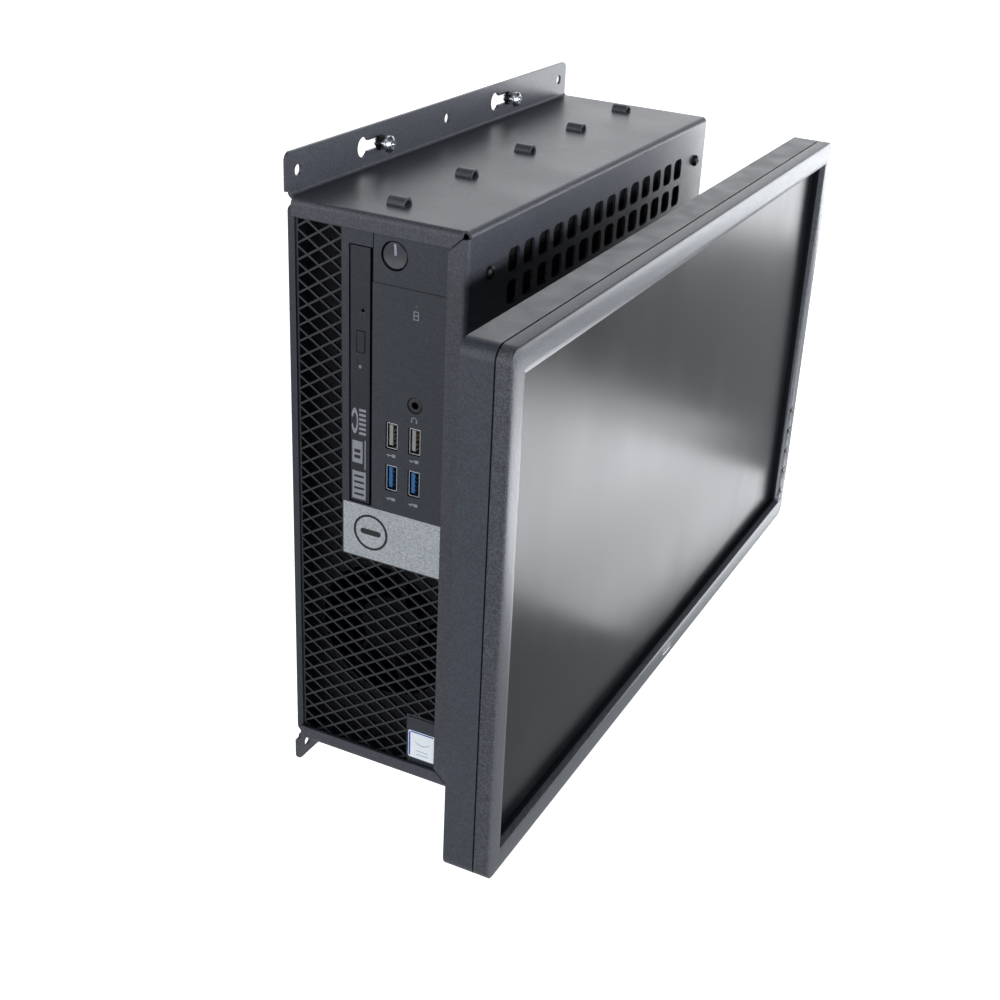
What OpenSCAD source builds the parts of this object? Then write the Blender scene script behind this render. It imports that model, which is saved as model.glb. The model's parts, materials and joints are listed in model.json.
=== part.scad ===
// Small-form-factor desktop computer held on edge in a folded steel wall enclosure,
// with a flat 16:9 monitor carried on the room side of the enclosure.
// Wall plane is Y = 0, the room is towards -Y, the computer's front faces -X, +Z is up.
// Origin: wall face of the top flange, on the line of its fixing holes, at mid length.

/* [Enclosure] */
// Length of the enclosure along X
encl_len = 295; // [293:0.5:300]
// Depth from the wall plane to the room face
encl_depth = 95; // [94:0.5:98]
// Height between the outer faces of the top and bottom plates
encl_h = 296; // [296:0.5:300]
// Thickness of the steel sheet
sheet = 1.5; // [1.2:0.1:1.6]
// Outer radius of the folds
fold_r = 3; // [2.5:0.1:3.5]
// Height of the top wall flange above the top plate
top_flange = 20; // [18:0.5:24]
// Height of the bottom wall flange below the bottom plate
bottom_flange = 15.5; // [15:0.5:20]
// Height of the lips that return around the computer's front
lip = 8.2; // [7:0.1:9]
// Width of the lip on the room side
room_lip = 10; // [9:0.1:11]

/* [Wall fixings] */
// Radius of the plain fixing holes
fix_r = 2.75; // [2.2:0.05:3.2]
// Distance of the end fixing holes from the middle
fix_x = 138; // [134:0.5:140]
// Distance of the screw seats of the two keyholes from the middle
key_seat_x = 69; // [60:0.5:80]
// Radius of the entry hole of a keyhole
key_r = 5; // [4.6:0.1:5.6]
// Distance from the entry hole to the seat of a keyhole
key_run = 14; // [12:0.5:16]
// Half the width of the keyhole's slot
key_slot = 2.6; // [2.4:0.1:3]

/* [Vents] */
// Number of vent slots in one row
vent_cols = 14; // [10:1:14]
// Distance between neighbouring slots in a row
vent_pitch_x = 16; // [15:0.1:16.5]
// Distance between neighbouring rows
vent_pitch_z = 15.5; // [15:0.1:16]
// Width of one slot
vent_w = 11.4; // [10:0.1:12]
// Height of one slot
vent_h = 11.6; // [10:0.1:12]
// Number of cable-tie bridges on the top plate
bridges = 5; // [3:1:5]
// Distance between neighbouring bridges
bridge_pitch = 63.7; // [50:0.1:64]

/* [Computer] */
// Depth of the computer, which lies along X
pc_len = 292; // [290:0.5:292]
// Width of the computer, which stands along Z
pc_h = 290; // [288:0.5:290]
// Thickness of the computer across Y
pc_thick = 92.4; // [92:0.1:92.6]
// Thickness of the moulded front bezel
bezel_deep = 13; // [12:0.5:13]
// Width of one diamond of the front grille
diamond_w = 12.6; // [11:0.1:14]
// Height of one diamond of the front grille
diamond_h = 8; // [7:0.1:9]
// Width of the grille's ribs
rib = 0.9; // [0.7:0.1:1.4]
// Radius of the power button
power_r = 6.2; // [5.8:0.1:6.4]
// Diameter across the front fan's blades
fan_d = 74; // [70:1:74]
// Diameter across the power supply fan's blades
psu_fan_d = 50; // [46:1:50]

/* [Monitor] */
// Width of the monitor
mon_w = 440; // [436:1:446]
// Height of the monitor
mon_h = 260; // [256:1:264]
// Corner radius of the monitor
mon_r = 7; // [5:0.5:9]
// Distance from the enclosure's room face to the rim of the back cover
mon_gap = 36; // [35:0.5:38]
// Depth of the rim of the back cover
rim_deep = 15.2; // [14:0.1:16]
// Depth of the front bezel
face_deep = 7.5; // [7:0.1:8]
// Shadow gap between the back cover and the front bezel
shadow_gap = 0.8; // [0.6:0.1:1]
// Width of the screen opening
screen_w = 415; // [412:0.5:416]
// Height of the screen opening
screen_h = 232.4; // [230:0.2:234]
// How far the glass lies behind the bezel's face
screen_sunk = 6.3; // [6:0.1:6.4]
// Hole spacing of the monitor's mounting square
vesa = 100; // [100:1:100]
// Distance between neighbouring menu buttons
menu_pitch = 14.9; // [13:0.1:15]
// Radius of the menu buttons
menu_r = 1.5; // [1.3:0.05:1.5]

/* [Hidden] */
$fn = 48;
eps = 0.01;
// Height of the fixing line above the middle of the enclosure
mount_z = encl_h / 2 + 10.5;
bottom_line_z = -encl_h / 2 - 8;
half_l = encl_len / 2;
half_h = encl_h / 2;
fold_in = fold_r - sheet;
panel_y = -encl_depth;
panel_in = panel_y + sheet;
lip_x = -half_l;
mitre_gap = 0.4;
vent_mid_x = 1.5;
vent_top_z = 125.2;
panel_screw_xs = [-127, 133];
panel_screw_z = 125.2;

pc_x0 = lip_x + sheet + 0.4;
pc_x1 = pc_x0 + pc_len;
pc_y0 = -0.4;
pc_y1 = pc_y0 - pc_thick;
pc_top = pc_h / 2;
face_t = 3;
bezel_back = pc_x0 + bezel_deep;
skin = 1;
chassis_x0 = bezel_back + 0.2;
front_sheet = chassis_x0 + skin;
rear_sheet = pc_x1 - skin;
pan_y = pc_y0 - 0.4 - skin;
board_y = -8;
board_t = 1.6;

// Layout of the front face: [y, z] of each feature's middle
grille_y0 = -4;
column_y = -29.8;
grille_y1 = -89;
grille_top = 139.6;
grille_low = -142;
band_z0 = -26.8;
band_z1 = 1.8;
band_t = 1;
power_at = [-57, 130.3];
light_at = [-68.8, 108.6];
jack_at = [-68.8, 60.7];
usb_y = [-56.7, -69];
usb2_z = 42.4;
usb3_z = 20.4;
usb_h = 13.1;
usb_w = 5.8;
cap_seam_z = 116.7;
emblem_at = [-45.4, -12];
pad_y0 = -68.4;
pad_z1 = -112.4;
io_x = pc_x0 + 15.6;

odd_y0 = -33.2;
odd_y1 = -45.8;
odd_z0 = 2.6;
odd_z1 = 132.2;
odd_x0 = pc_x0 + 4.4;
odd_x1 = -14;
tray_x0 = pc_x0 + 3.2;
tray_x1 = -18;
tray_y0 = -35.2;
tray_y1 = -43.6;
tray_mid_x = (tray_x0 + tray_x1) / 2;
tray_mid_z = (odd_z0 + odd_z1) / 2;
disc_r = 60.4;
eject_at = [-39.5, 85.9];
eject_size = [4.1, 10.3];

fan_at = [-46.5, -75];
fan_x0 = front_sheet + 2;
fan_deep = 25;
psu_x0 = 0;
psu_y0 = -20;
psu_y1 = -88;
psu_z0 = 60.5;
psu_z1 = 142.6;
psu_fan_at = [-59, 89];
inlet_at = [-33, 126];

mon_back = panel_y - mon_gap;
mon_seam = mon_back - rim_deep;
mon_face_back = mon_seam - shadow_gap;
mon_front = mon_face_back - face_deep;
glass_y = mon_front + screen_sunk;
glass_t = 1.2;
bulge_y = panel_y - 10.5;
menu_x = 210.6;
menu_z = -48.4;
mon_power_z = menu_z - 4 * menu_pitch;

// ---- helpers ----

// Everything is drawn about the middle of the enclosure, then set down at the mount
module placed() {
    translate([0, 0, -mount_z]) children();
}

// Extrudes a (Y, Z) outline from x to x + d
module along_x(x, d) {
    translate([x, 0, 0]) rotate([90, 0, 90]) linear_extrude(d) children();
}

// Extrudes an (X, Z) outline from y to y - d
module along_y(y, d) {
    translate([0, y, 0]) rotate([90, 0, 0]) linear_extrude(d) children();
}

// Extrudes an (X, Y) outline from z to z + d
module along_z(z, d) {
    translate([0, 0, z]) linear_extrude(d) children();
}

// A box between two opposite corners given in any order
module block(a, b) {
    low = [for (i = [0:2]) min(a[i], b[i])];
    high = [for (i = [0:2]) max(a[i], b[i])];
    translate(low) cube(high - low);
}

// A rectangle between two opposite corners
module rect(a, b) {
    translate([min(a[0], b[0]), min(a[1], b[1])]) square([abs(b[0] - a[0]), abs(b[1] - a[1])]);
}

// A rectangle with round corners, centred
module round_rect(w, h, r) {
    square([w - 2 * r, h], center = true);
    square([w, h - 2 * r], center = true);
    for (i = [-1, 1], j = [-1, 1])
        translate([i * (w / 2 - r), j * (h / 2 - r)]) circle(r);
}

// A slot of width w and length h along the outline's second axis, with full-round ends
module slot(w, h) {
    square([w, h - w], center = true);
    for (j = [-1, 1]) translate([0, j * (h - w) / 2]) circle(w / 2);
}

// A quarter of a folded sheet's bend, in the quadrant given by the signs i and j
module bend(i, j) {
    intersection() {
        difference() {
            circle(fold_r);
            circle(fold_in);
        }
        rect([0, 0], [i * fold_r, j * fold_r]);
    }
}

// Runs its children at the four corners of a square
module at_corners(half) {
    for (i = [-1, 1], k = [-1, 1]) translate([i * half, 0, k * half]) children();
}

// A rod along X or Y
module rod_x(x, r, d) {
    translate([x, 0, 0]) rotate([0, 90, 0]) cylinder(r = r, h = d);
}

module rod_y(y, r, d) {
    translate([0, y, 0]) rotate([90, 0, 0]) cylinder(r = r, h = d);
}

// A pan-head screw with its head's underside at y and its shank towards +Y
module pan_screw(y, head_r, head_h, shank_r, shank_l) {
    rod_y(y + shank_l, shank_r, shank_l + eps);
    difference() {
        union() {
            rod_y(y, head_r, head_h * 0.55);
            translate([0, y - head_h * 0.55, 0]) rotate([90, 0, 0])
                cylinder(r1 = head_r, r2 = head_r * 0.62, h = head_h * 0.45);
        }
        for (a = [0, 90]) rotate([0, a, 0])
            translate([-head_r * 0.5, y - head_h - 1, -0.45]) cube([head_r, 2, 0.9]);
    }
}

// ---- wall enclosure ----

// Cross-section of the folded sheet in the (Y, Z) plane
module enclosure_section() {
    for (s = [-1, 1]) {
        rect([-fold_r, s * half_h], [panel_y + fold_r, s * (half_h - sheet)]);
        translate([panel_y + fold_r, s * (half_h - fold_r)]) bend(-1, s);
        translate([-fold_r, s * (half_h - sheet + fold_r)]) bend(1, -s);
    }
    rect([panel_y, half_h - fold_r], [panel_in, fold_r - half_h]);
    rect([-sheet, half_h - sheet + fold_r], [0, half_h + top_flange - 6]);
    rect([-sheet, sheet - half_h - fold_r], [0, 6 - half_h - bottom_flange]);
}

// Rounded free edge of a wall flange, with its corners
module flange_edge(s, height) {
    along_y(0, sheet) difference() {
        translate([0, s * (half_h + height - 8)]) round_rect(encl_len, 16, 4);
        rect([-encl_len, s * (half_h + height - 7)], [encl_len, s * (half_h - 10)]);
    }
}

// Lip that returns around the computer's front edge, drawn for the top (s = 1) or bottom
module plate_lip(s) {
    wall_end = -fold_r - 0.5;
    mitre_end = panel_y + fold_r + mitre_gap;
    along_y(wall_end, wall_end - mitre_end)
        translate([lip_x + fold_r, s * (half_h - fold_r)]) bend(-1, s);
    along_x(lip_x, sheet) polygon([
        [wall_end, s * (half_h - fold_r)],
        [mitre_end, s * (half_h - fold_r)],
        [mitre_end + lip - fold_r, s * (half_h - lip)],
        [wall_end, s * (half_h - lip)]]);
}

module side_lip() {
    mitre_end = half_h - fold_r - mitre_gap;
    free_end = half_h - room_lip - mitre_gap;
    along_z(-mitre_end, 2 * mitre_end)
        translate([lip_x + fold_r, panel_y + fold_r]) bend(-1, -1);
    along_x(lip_x, sheet) polygon([
        [panel_y + fold_r, mitre_end],
        [panel_y + room_lip, free_end],
        [panel_y + room_lip, -free_end],
        [panel_y + fold_r, -mitre_end]]);
}

// Half-round tunnel pressed up out of the top plate
module bridge() {
    bridge_r = 4;
    bridge_l = 9;
    translate([0, encl_depth / -2 + bridge_l / 2, half_h - 0.3]) rotate([90, 0, 0])
        linear_extrude(bridge_l) difference() {
            union() {
                intersection() {
                    circle(bridge_r);
                    rect([-bridge_r, 1], [bridge_r, bridge_r]);
                }
                rect([-bridge_r + 0.15, 0], [bridge_r - 0.15, 1]);
            }
            intersection() {
                circle(bridge_r - 1.2);
                rect([-bridge_r, 0.4], [bridge_r, bridge_r]);
            }
        }
}

module vent_rows() {
    for (s = [-1, 1], row = [0:2], i = [0:vent_cols - 1])
        translate([vent_mid_x + (i - (vent_cols - 1) / 2) * vent_pitch_x,
                   s * (vent_top_z - row * vent_pitch_z)])
            round_rect(vent_w, vent_h, 3);
}

module keyhole() {
    circle(key_slot);
    translate([-key_run, 0]) circle(key_r);
    rect([-key_run, -key_slot], [0, key_slot]);
}

module wall_enclosure() {
    color([0.13, 0.14, 0.16]) placed() {
        difference() {
            union() {
                along_x(lip_x + fold_r, encl_len - fold_r) enclosure_section();
                along_x(lip_x, fold_r + eps) {
                    rect([-sheet, half_h + 2.2], [0, half_h + top_flange - 6]);
                    rect([-sheet, -half_h - 2.2], [0, 6 - half_h - bottom_flange]);
                }
                flange_edge(1, top_flange);
                flange_edge(-1, bottom_flange);
                plate_lip(1);
                plate_lip(-1);
                side_lip();
            }
            along_y(panel_in + 1, sheet + 2) {
                vent_rows();
                for (x = panel_screw_xs, k = [-1, 1])
                    translate([x, k * panel_screw_z]) circle(2.2);
            }
            along_y(1, sheet + 2) {
                for (x = [-fix_x, 0, fix_x]) translate([x, mount_z]) circle(fix_r);
                for (x = [-fix_x, 0, fix_x]) translate([x, bottom_line_z]) circle(fix_r);
                for (x = [-key_seat_x, key_seat_x]) translate([x, mount_z]) keyhole();
            }
        }
        for (i = [0:bridges - 1])
            translate([vent_mid_x + (i - (bridges - 1) / 2) * bridge_pitch, 0, 0]) bridge();
    }
}

module keyhole_screws() {
    color([0.75, 0.76, 0.78]) placed()
        for (i = [-1, 1]) translate([i * key_seat_x, 0, mount_z])
            pan_screw(-7, 4.1, 2.8, 2, 7);
}

module keyhole_collars() {
    color([0.1, 0.1, 0.11]) placed()
        for (i = [-1, 1]) translate([i * key_seat_x, -sheet, mount_z]) rotate([90, 0, 0])
            difference() {
                cylinder(r = 3.8, h = 2.2, $fn = 6);
                translate([0, 0, -1]) cylinder(r = 2.05, h = 5);
            }
}

module panel_screws() {
    color([0.2, 0.2, 0.21]) placed()
        for (x = panel_screw_xs, k = [-1, 1]) translate([x, 0, k * panel_screw_z])
            pan_screw(panel_y, 3.2, 2, 1.8, 5);
}

// Rubber strips between the computer and the top and bottom plates
module liner_pads() {
    color([0.07, 0.07, 0.07]) placed()
        for (k = [-1, 1], y = [-12, -70])
            block([-120, y, k * pc_top], [120, y - 14, k * (half_h - sheet)]);
}

// Top-hat bracket that carries the monitor's mounting square
module vesa_bracket() {
    hat = vesa / 2 + 14;
    color([0.13, 0.14, 0.16]) placed() difference() {
        along_z(-hat, 2 * hat) {
            rect([-hat, bulge_y], [hat, bulge_y + 2]);
            for (i = [-1, 1]) {
                rect([i * hat, bulge_y], [i * (hat - 2), panel_y]);
                rect([i * (hat - 2), panel_y - 2], [i * (hat + 12), panel_y]);
            }
        }
        at_corners(vesa / 2) rod_y(bulge_y + 5, 2.3, 10);
        for (i = [-1, 1], k = [-1, 1])
            translate([i * (hat + 6), 0, k * (hat - 14)]) rod_y(panel_y + 3, 2.1, 8);
        rod_y(bulge_y + 5, 18, 10);
    }
}

module vesa_screws() {
    color([0.7, 0.71, 0.73]) placed() at_corners(vesa / 2)
        translate([0, bulge_y + 2, 0]) rotate([0, 0, 180]) pan_screw(0, 3.8, 2.4, 1.95, 14);
}

// ---- computer: front ----

module grille_outline() {
    rect([grille_y0, grille_low], [column_y, grille_top]);
    rect([column_y + eps, grille_low], [grille_y1, band_z0]);
}

// Window in the front that shows one USB socket
module usb_places() {
    for (y = usb_y, z = [usb2_z, usb3_z]) translate([y, z]) children();
}

module pc_front_bezel() {
    color([0.09, 0.1, 0.12]) placed() difference() {
        along_x(pc_x0, bezel_deep) translate([(pc_y0 + pc_y1) / 2, 0])
            round_rect(pc_thick, pc_h, 4);
        // hollow behind the face
        along_x(pc_x0 + face_t, bezel_deep) translate([(pc_y0 + pc_y1) / 2, 0])
            round_rect(pc_thick - 4.4, pc_h - 4.4, 2);
        along_x(pc_x0 - 1, face_t + 2) {
            grille_outline();
            rect([odd_y0, odd_z0], [odd_y1, odd_z1]);
            translate(power_at) circle(power_r + 0.8);
            translate(light_at) circle(1);
            translate(jack_at) circle(4);
            usb_places() round_rect(usb_w + 0.8, usb_h + 0.8, 0.6);
        }
        // recess of the metal band, and the seams of the upper cap
        along_x(pc_x0 - 1, band_t + 1) rect([column_y, band_z0], [-90, band_z1]);
        along_x(pc_x0 - 1, 1.5) {
            rect([odd_y1, cap_seam_z], [-100, cap_seam_z - 0.5]);
            rect([odd_y1 - 0.5, cap_seam_z], [odd_y1, 150]);
        }
    }
}

// One row of the lattice's diamond openings
module diamonds() {
    cols = ceil(-grille_y1 / diamond_w) + 1;
    rows = ceil((grille_top - grille_low) / diamond_h) + 1;
    inner_w = diamond_w / 2 - rib;
    inner_h = diamond_h / 2 - rib * diamond_h / diamond_w;
    for (i = [0:cols * 2 - 1], j = [0:rows])
        translate([grille_y0 - i * diamond_w / 2,
                   grille_low + (j + (i % 2) / 2) * diamond_h])
            polygon([[inner_w, 0], [0, inner_h], [-inner_w, 0], [0, -inner_h]]);
}

// Thin cut along a line through the diamonds' corners, which leaves two plain rectangles
module grille_parting() {
    parting = 0.05;
    half_pitch = diamond_w / 2;
    split_y = grille_y0 - floor((grille_y0 - column_y) / half_pitch) * half_pitch;
    rect([split_y, grille_low - 1], [split_y - parting, band_z0]);
    rect([split_y, band_z0], [column_y - 1, band_z0 - parting]);
}

module front_grille() {
    edge = 1.2;
    color([0.1, 0.11, 0.12]) placed() along_x(pc_x0 + 0.9, 1.6) difference() {
        grille_outline();
        grille_parting();
        intersection() {
            diamonds();
            difference() {
                union() {
                    rect([grille_y0 - edge, grille_low + edge],
                         [column_y + edge, grille_top - edge]);
                    rect([grille_y0 - edge, grille_low + edge],
                         [grille_y1 + edge, band_z0 - edge]);
                }
                rect([pad_y0 + edge, pad_z1 + edge], [grille_y1, grille_low]);
            }
        }
    }
}

module silver_band() {
    color([0.72, 0.73, 0.75]) placed()
        along_x(pc_x0, band_t) rect([column_y, band_z0], [-90, band_z1]);
}

module emblem_ring() {
    color([0.08, 0.08, 0.09]) placed() along_x(pc_x0 - 0.15, 0.15)
        translate(emblem_at) difference() {
            circle(9.6);
            circle(8.4);
        }
}

module power_button() {
    color([0.12, 0.13, 0.15]) placed() translate([0, power_at[0], power_at[1]])
        difference() {
            union() {
                rod_x(pc_x0 + 0.2, power_r, 3.6);
                rod_x(pc_x0 + 3.6, power_r + 0.5, 1);
                rod_x(pc_x0 + 4.5, 2, 1.2);
            }
            block([pc_x0 - 1, -0.6, 0], [pc_x0 + 1.4, 0.6, power_r - 0.6]);
        }
}

module power_light_pipe() {
    color([0.85, 0.87, 0.9]) placed() translate([0, power_at[0], power_at[1]])
        block([pc_x0 + 0.2, -0.6, 0], [pc_x0 + 1.4, 0.6, power_r - 0.6]);
}

module power_switch() {
    color([0.15, 0.15, 0.16]) placed() translate([0, power_at[0], power_at[1]]) {
        block([pc_x0 + 7.4, -3, -3], [bezel_back - 1, 3, 3]);
        block([bezel_back - 1, -7, -9], [bezel_back + 0.2, 7, 9]);
        rod_x(pc_x0 + 7, 1.5, 0.5);
    }
}

module activity_light() {
    color([0.8, 0.85, 0.9]) placed()
        translate([0, light_at[0], light_at[1]]) rod_x(pc_x0 + 0.1, 1, face_t + 3);
}

module headset_jack() {
    color([0.06, 0.06, 0.07]) placed() translate([0, jack_at[0], jack_at[1]])
        difference() {
            union() {
                rod_x(pc_x0 + 0.3, 3.6, 6);
                block([pc_x0 + 6, -4, -5], [io_x, 4, 5]);
            }
            rod_x(pc_x0 - 1, 1.8, 13);
        }
}

module usb_shells() {
    color([0.72, 0.72, 0.74]) placed() along_x(pc_x0 + 0.5, io_x - pc_x0 - 0.5)
        usb_places() difference() {
            round_rect(usb_w, usb_h, 0.5);
            square([usb_w - 0.7, usb_h - 0.7], center = true);
        }
}

// Contact tongue and rear wall inside one row of sockets
module usb_tongues(z) {
    for (y = usb_y) translate([0, y, z]) {
        block([pc_x0 + 1.3, 0.1, -5.4], [io_x - 2, 2, 5.4]);
        block([io_x - 2, -usb_w / 2 + 0.4, -usb_h / 2 + 0.4],
              [io_x, usb_w / 2 - 0.4, usb_h / 2 - 0.4]);
    }
}

module usb2_tongues() {
    color([0.88, 0.88, 0.86]) placed() usb_tongues(usb2_z);
}

module usb3_tongues() {
    color([0.1, 0.35, 0.75]) placed() usb_tongues(usb3_z);
}

module front_io_board() {
    color([0.1, 0.3, 0.18]) placed() {
        block([io_x, -50, 8], [io_x + board_t, -79, 70]);
        block([io_x + board_t, -54, 60], [io_x + 6, -72, 67]);
    }
}

module label_pad() {
    color([0.13, 0.14, 0.16]) placed()
        block([pc_x0 + 0.3, pad_y0, pad_z1], [pc_x0 + 0.9, grille_y1, grille_low]);
}

module info_label() {
    color([0.85, 0.9, 0.95]) placed() along_x(pc_x0 + 0.1, 0.2)
        translate([pad_y0 - 8.2, pad_z1 - 16]) round_rect(15.8, 16.6, 1.2);
}

// ---- computer: chassis and what it holds ----

module pc_chassis() {
    color([0.62, 0.63, 0.65]) placed() difference() {
        union() {
            block([chassis_x0, pc_y0 - 0.4, 2.2 - pc_top], [pc_x1, pan_y, pc_top - 2.2]);
            block([chassis_x0, pan_y, 2.2 - pc_top], [front_sheet, pc_y1 + 2.2, pc_top - 2.2]);
            block([rear_sheet, pan_y, 2.2 - pc_top], [pc_x1, pc_y1 + 2.2, pc_top - 2.2]);
        }
        along_x(chassis_x0 - 1, skin + 2) {
            rect([odd_y0 + 0.5, odd_z0 - 0.5], [odd_y1 - 0.5, odd_z1 + 0.5]);
            rect([-47, 6], [-82, 72]);
            translate(power_at) square([18, 20], center = true);
            translate(light_at) circle(3);
            translate(fan_at) circle(fan_d / 2);
        }
        along_x(rear_sheet - 1, skin + 2) {
            rect([-10, -138], [-52, 18]);
            rect([-13, 22], [-87, 58]);
            translate(psu_fan_at) circle(psu_fan_d / 2 + 1);
            translate(inlet_at) square([20.4, 28], center = true);
        }
    }
}

// Hexagonal spacers that hold the motherboard off the chassis
module board_standoffs() {
    color([0.76, 0.65, 0.36]) placed() for (x = [-84, 20, 134], z = [-134, -36, 48])
        translate([x, pan_y, z]) rotate([90, 0, 0])
            cylinder(r = 3, h = pan_y - board_y, $fn = 6);
}

module pc_side_cover() {
    color([0.1, 0.1, 0.11]) placed() difference() {
        along_x(chassis_x0, pc_x1 - chassis_x0) difference() {
            rect([-4, -pc_top], [pc_y1, pc_top]);
            rect([0, skin - pc_top], [pc_y1 + skin, pc_top - skin]);
        }
        for (x = panel_screw_xs, k = [-1, 1])
            translate([x, 0, k * panel_screw_z]) rod_y(pc_y1 + 3, 1.95, 6);
        along_y(pc_y1 + 2, 4) for (i = [0:11], k = [0:3])
            translate([-110 + i * 8, -96 + k * 14]) slot(3, 11);
    }
}

module motherboard() {
    top = board_y - board_t;
    color([0.08, 0.25, 0.15]) placed() {
        block([-92, board_y, -142], [142, top, 56]);
        // processor, chip, memory sockets, expansion sockets and a row of capacitors
        block([-58, top, -98], [-16, top - 6.4, -56]);
        block([30, top, -60], [52, top - 2, -38]);
        for (z = [-20, -10]) block([-66, top, z - 3.5], [76, top - 5, z + 3.5]);
        for (z = [30, 50]) block([10, top, z - 3.7], [100, top - 11, z + 3.7]);
        for (i = [0:5]) translate([-2 + i * 10, 0, -122]) rod_y(top, 3.5, 9);
    }
}

module coin_cell() {
    color([0.78, 0.78, 0.76]) placed()
        translate([-20, 0, 36]) rod_y(board_y - board_t, 10, 3.2);
}

module cpu_heatsink() {
    base = board_y - board_t - 6.4;
    color([0.75, 0.76, 0.78]) placed() {
        block([-76, base, -116], [-2, base - 5, -34]);
        for (i = [0:18]) block([-76, base - 5, -116 + i * 4.5], [-2, -84, -115 + i * 4.5]);
    }
}

// Square frame of an axial fan, with four spokes that hold the motor
module fan_frame() {
    bore = fan_d / 2 + 1;
    hub = 15;
    color([0.08, 0.08, 0.09]) placed() {
        along_x(fan_x0, fan_deep) translate(fan_at) difference() {
            round_rect(80, 80, 3);
            circle(bore);
            for (i = [-1, 1], k = [-1, 1]) translate([i * 35.8, k * 35.8]) circle(2.2);
        }
        along_x(fan_x0 + fan_deep - 2, 2) translate(fan_at) {
            circle(hub);
            for (a = [45:90:315]) rotate(a) rect([hub - 1, -1.5], [bore + 0.5, 1.5]);
        }
    }
}

// Hub with pitched blades about X
module rotor(x, deep, tip, hub, blades) {
    rod_x(x, hub, deep);
    intersection() {
        difference() {
            rod_x(x + 0.5, tip, deep - 1);
            rod_x(x - 1, hub - 0.5, deep + 2);
        }
        for (i = [0:blades - 1]) rotate([i * 360 / blades, 0, 0])
            translate([x + deep / 2, 0, 0]) rotate([0, 0, 38])
                translate([-deep, -0.8, 0]) cube([2 * deep, 1.6, tip + 5]);
    }
}

module fan_rotor() {
    color([0.12, 0.12, 0.13]) placed() translate([0, fan_at[0], fan_at[1]])
        rotor(fan_x0 + 2, fan_deep - 5.5, fan_d / 2, 17, 7);
}

module memory_modules() {
    color([0.1, 0.35, 0.2]) placed() for (z = [-20, -10]) {
        block([-61.7, board_y - board_t - 5, z - 0.6], [71.7, -41, z + 0.6]);
        for (i = [0:7])
            block([-56 + i * 15.6, -22, z - 2.2], [-46 + i * 15.6, -35, z - 0.6]);
    }
}

module hard_drive() {
    color([0.66, 0.67, 0.69]) placed() difference() {
        block([-112, -50, -20], [-10.4, -76, 127]);
        along_y(-75, 3) translate([-61, 70]) difference() {
            circle(46);
            circle(43);
        }
        for (x = [-106, -16], z = [-5, 110]) translate([x, 0, z]) rod_y(-49, 1.7, 6);
    }
}

module drive_caddy() {
    color([0.2, 0.3, 0.45]) placed() {
        block([-115, -46.6, -21.2], [-8, -48, 128.2]);
        for (z = [-21.2, 127]) block([-115, -48, z], [-8, -78, z + 1.2]);
    }
}

module psu_case() {
    color([0.6, 0.61, 0.63]) placed() difference() {
        block([psu_x0, psu_y0, psu_z0], [rear_sheet, psu_y1, psu_z1]);
        block([psu_x0 + skin, psu_y0 - skin, psu_z0 + skin],
              [rear_sheet + 1, psu_y1 + skin, psu_z1 - skin]);
        along_x(psu_x0 - 1, 3) for (i = [0:7])
            translate([-30 - i * 7, (psu_z0 + psu_z1) / 2]) slot(3, 60);
    }
}

module psu_fan_rotor() {
    color([0.1, 0.1, 0.11]) placed() translate([0, psu_fan_at[0], psu_fan_at[1]])
        rotor(rear_sheet - 16, 14, psu_fan_d / 2, 13, 7);
}

// Mains inlet with three recessed blades
module power_inlet() {
    well = 17;
    color([0.05, 0.05, 0.06]) placed() translate([0, inlet_at[0], inlet_at[1]]) {
        difference() {
            union() {
                along_x(rear_sheet - well, well + skin + eps) round_rect(19.6, 27, 2);
                along_x(pc_x1, 1) round_rect(22.5, 30, 2.5);
            }
            along_x(pc_x1 + 1 - well, well + 1) round_rect(16.4, 24, 3);
        }
        for (p = [[-3, 7], [-3, -7], [3, 0]])
            block([pc_x1 - well, p[0] - 2, p[1] - 1], [pc_x1 - 4, p[0] + 2, p[1] + 1]);
    }
}

// Rear sockets as [y, z, width across Y, height along Z]
rear_sockets = [
    [-20, -128, 14, 14], [-40, -128, 14, 14], [-20, -108, 6, 18], [-32, -108, 6, 18],
    [-18, -84, 6, 14], [-30, -84, 6, 14], [-18, -64, 6, 14], [-30, -64, 6, 14],
    [-24, -42, 14, 16], [-22, -14, 10, 32]];

module rear_io_plate() {
    color([0.7, 0.71, 0.73]) placed() along_x(pc_x1 - 0.6, 0.6) difference() {
        rect([-10.2, -137.8], [-51.8, 17.8]);
        for (s = rear_sockets)
            translate([s[0], s[1]]) square([s[2] + 0.4, s[3] + 0.4], center = true);
    }
}

module rear_ports() {
    color([0.55, 0.56, 0.58]) placed() for (s = rear_sockets)
        translate([0, s[0], s[1]]) difference() {
            along_x(pc_x1 - 17, 17.6) square([s[2], s[3]], center = true);
            along_x(pc_x1 - 12, 14) square([s[2] - 1.4, s[3] - 1.4], center = true);
        }
}

module slot_covers() {
    color([0.68, 0.69, 0.71]) placed() for (z = [31, 49]) {
        block([rear_sheet - 0.8, -12, z - 8.6], [rear_sheet, -88.5, z + 8.6]);
        block([rear_sheet - 10, -87.7, z - 8.6], [rear_sheet - 0.8, -88.5, z + 8.6]);
    }
}

// ---- optical drive ----

module optical_drive_case() {
    wall = 0.8;
    color([0.7, 0.71, 0.73]) placed() difference() {
        block([odd_x0, odd_y0, odd_z0], [odd_x1, odd_y1, odd_z1]);
        block([odd_x0 - 1, odd_y0 - wall, odd_z0 + wall],
              [odd_x1 - wall, odd_y1 + wall, odd_z1 - wall]);
    }
}

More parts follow.
